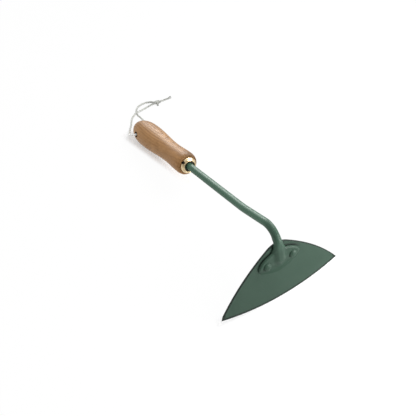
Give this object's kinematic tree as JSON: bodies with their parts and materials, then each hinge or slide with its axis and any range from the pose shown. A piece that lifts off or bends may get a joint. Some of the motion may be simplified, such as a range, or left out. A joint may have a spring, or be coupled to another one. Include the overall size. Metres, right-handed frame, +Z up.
{
  "type": "hand draw hoe",
  "caption": "Short-handled draw hoe: half-moon steel blade riveted to a gooseneck shank, with a turned wooden grip, brass ferrule and hanging cord, for weeding and drawing soil.",
  "frame": {"origin": "on the floor under the middle of the tool, its cord left out of the reckoning", "axes": "+X along the tool from handle to blade, +Y across the blade, +Z up, with the tool lying on its cutting edge and grip"},
  "size_m": [0.3751, 0.158, 0.0909],
  "materials": {
    "green_paint": "satin grey-green paint",
    "wood": "oiled hardwood",
    "brass": "polished",
    "pin_steel": "darkened",
    "twine": "twisted natural twine"
  },
  "bodies": {
    "root": {"blade": "green_paint", "shank": "green_paint", "rivet_left": "green_paint", "rivet_right": "green_paint", "handle": "wood", "ferrule": "brass", "ferrule_pin": "pin_steel", "cord_near": "twine", "cord_far": "twine", "cord_knot": "twine", "cord_tail_long": "twine", "cord_tail_short": "twine"}
  },
  "joints": []
}
